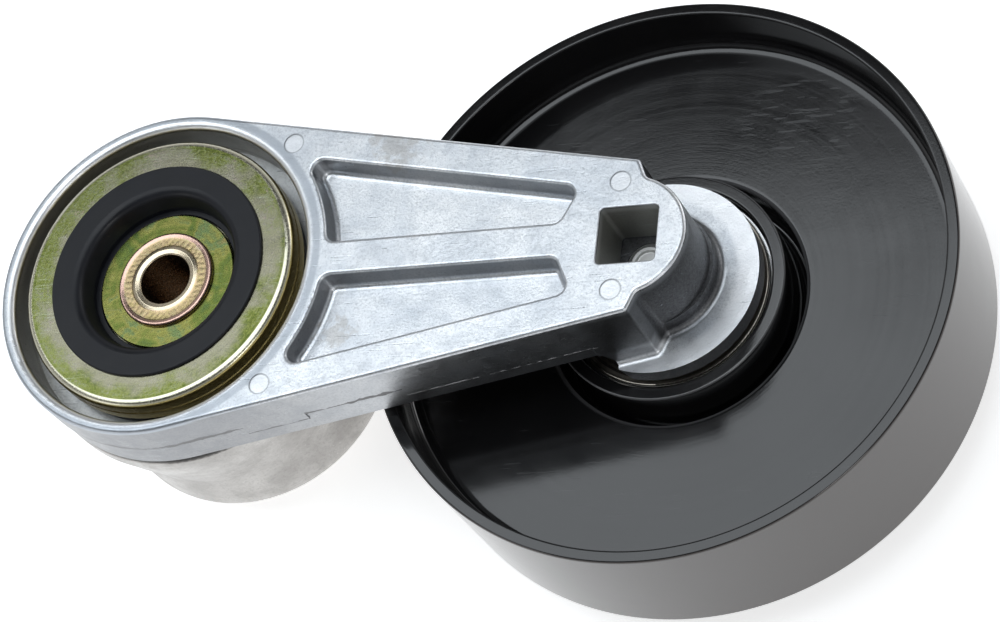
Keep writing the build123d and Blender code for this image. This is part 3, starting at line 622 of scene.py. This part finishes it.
# The dish has a row of points close together, which take the dents.
dish = [(DISH_OUTER_R - 0.25 - 0.09 * i, DISH_Z, 0) for i in range(14)]
tube_section = rounded([
    (BORE_R, 0, 0), (TUBE_R, 0, 0.5), (TUBE_R, FLARE_BACK, 0), (FLARE_R, FLARE_BACK, 0.3),
    (FLARE_R, FLARE_TOP, 0.55), (DISH_OUTER_R, DISH_Z, 0.5), *dish, (DISH_INNER_R, DISH_Z, 0.5),
    (7.1, FLARE_TOP, 0.4), (BORE_R, DISH_Z, 0.6)], support=0.1)
gold = zinc("gold_zinc", GOLD, 0.25, 0.20, 0.30, turned=0.12, zones=FLARE_ZONES)
add_piece("pivot_tube_flared", tube_section, PIVOT, "base", "gold_zinc", gold, ("pivot_tube",),
          segments=360, relief=peened)

# --------------------------------------------------------------- finishes of the CAD nodes
finishes = (
    (cast_aluminium(), ("arm_pivot_end", "arm_beam")),
    (case_aluminium(), ("spring_case",)),
    (gold, ("pivot_tube",)),
    (zinc("green_zinc", GREEN, 0.14, 0.20, 0.05, turned=0.05, rubbing=0.1),
     ("retaining_washer",)),
    (zinc("olive_zinc", OLIVE, 0.10, 0.17, 0.46, band=PLATE_BAND, zones=PLATE_ZONES),
     ("front_plate",)),
    (rubber("seal_rubber", (0.004, 0.0048, 0.0075), 0.33),
     ("seal_ring", "front_bearing_seal", "rear_bearing_seal")),
    (rubber("black_nylon", (0.018, 0.018, 0.018), 0.5),
     ("rear_thrust_washer", "damping_ring", "spring_seat", "front_bush", "rear_bush",
      "thrust_washer")),
    (turned_metal("pin_steel", (0.45, 0.45, 0.44), (0.6, 0.6, 0.59), PIVOT, 0.25),
     ("locating_pin",)),
    (turned_metal("spring_wire", (0.07, 0.07, 0.075), (0.13, 0.13, 0.14), PIVOT, 0.3),
     ("torsion_spring",)),
    (turned_metal("bolt_zinc", (0.92, 0.92, 0.90), (0.98, 0.98, 0.97), PULLEY, 0.45),
     ("pulley_bolt",)),
    (turned_metal("bright_zinc", (0.74, 0.74, 0.72), (0.86, 0.86, 0.84), PULLEY, 0.24),
     ("bolt_washer", "rear_dust_shield", "cage_front_half", "cage_rear_half", "cage_rivets")),
    (turned_metal("shield_steel", (0.33, 0.30, 0.26), (0.5, 0.46, 0.40), PULLEY, depth=0.002),
     ("front_dust_shield",)),
    (turned_metal("bearing_steel", (0.52, 0.52, 0.52), (0.62, 0.62, 0.62), PULLEY, 0.12),
     ("bearing_inner_ring", "bearing_outer_ring", "bearing_balls")),
    (black, ("pulley_rim", "pulley_web", "pulley_hub")))
for material, names in finishes:
    for name in names:
        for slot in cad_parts[name].material_slots:
            slot.material = material

# The spring winds as the arm swings, its lower turns staying with the case and its top with the
# arm; here it is a still copy of its mesh, with its placing baked in.
spring = add_object("wound_spring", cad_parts["torsion_spring"].data.copy())
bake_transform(spring)
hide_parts("torsion_spring")

# ------------------------------------------------------ camera, floor and light, in metres
# The camera looks down on its target. It is turned about the vertical, tilted and rolled.
TARGET = (0.07196, -0.00372, 0.03313)
DISTANCE = 0.7
HEADING = math.radians(41.58)
TILT = math.radians(33.883)
ROLL = math.radians(-40.426)
optics = bpy.data.cameras.new("camera")
optics.lens, optics.sensor_width = 116.75, 36.0
optics.clip_start, optics.clip_end = 0.01, 20.0
camera = add_object("camera", optics)
camera.matrix_world = (
    Matrix.Translation(TARGET) @ Matrix.Rotation(HEADING, 4, "Z") @ Matrix.Rotation(TILT, 4, "X")
    @ Matrix.Rotation(ROLL, 4, "Z") @ Matrix.Translation((0, 0, DISTANCE)))
bpy.context.scene.camera = camera

FLOOR_Z = cad_box[0][2] - 0.0005
FLOOR_HALF = 3.0
mesh = bpy.data.meshes.new("floor")
bm = bmesh.new()
bmesh.ops.create_grid(bm, x_segments=8, y_segments=8, size=FLOOR_HALF)
bmesh.ops.translate(bm, vec=(0, 0, FLOOR_Z), verts=bm.verts)
bm.to_mesh(mesh)
bm.free()
paper = Shader("paper", Roughness=0.9, Specular_IOR_Level=0.1, Emission_Color=(1, 1, 1, 1),
               Emission_Strength=0.65)
paper.paint(Base_Color=paper.ramp(
    paper.noise(0.01), (0.3, (0.93, 0.93, 0.93)), (0.7, (0.95, 0.95, 0.95))))
mesh.materials.append(paper.material)
floor = add_object("floor", mesh)


def facing_part(direction):
    """The pose of a light that stands off in a direction and faces the middle of the part."""
    middle, distance = Vector((0.06, 0.0, 0.03)), 1.3
    way = Vector(direction).normalized()
    turn = way.to_track_quat("Z", "Y").to_matrix().to_4x4()
    return Matrix.Translation(middle + way * distance) @ turn


def soft_light(name, pose, size, radiance, colour=(1.0, 1.0, 1.0)):
    """A light panel (width, height); radiance 1 is white paper."""
    panel = bpy.data.lights.new(name, "AREA")
    panel.shape, panel.size, panel.size_y = "RECTANGLE", *size
    panel.energy = radiance * math.pi * size[0] * size[1]
    panel.color = colour
    light = add_object(name, panel)
    light.matrix_world = pose


soft_light("top_panel", Matrix.Translation((-0.275, 0.12, 1.33)), (1.75, 1.21), 2.05,
           colour=(0.90, 0.955, 1.0))
soft_light("front_panel", facing_part((0.60, -0.56, 0.50)), (0.36, 0.30), 4.0)
soft_light("right_panel", facing_part((0.66, 0.72, 0.20)), (0.5, 0.3), 2.2)
soft_light("left_panel", facing_part((-0.74, -0.61, 0.26)), (0.5, 0.3), 1.0)

# The room is grey, lightest low down, with a dark ceiling round the top panel.
ROOM = ((0.0, 0.72), (0.40, 0.5), (0.68, 0.03))
world = bpy.data.worlds.new("studio")
bpy.context.scene.world = world
world.use_nodes = True
tree = world.node_tree
split = tree.nodes.new("ShaderNodeSeparateXYZ")
tree.links.new(tree.nodes.new("ShaderNodeTexCoord").outputs["Generated"], split.inputs[0])
room = colour_ramp(tree, split.outputs["Z"],
                   [(upward, (grey * 0.97, grey * 0.985, grey)) for upward, grey in ROOM])
background = tree.nodes["Background"]
tree.links.new(room, background.inputs["Color"])
background.inputs["Strength"].default_value = 0.9
bpy.context.scene.view_settings.view_transform = "Standard"
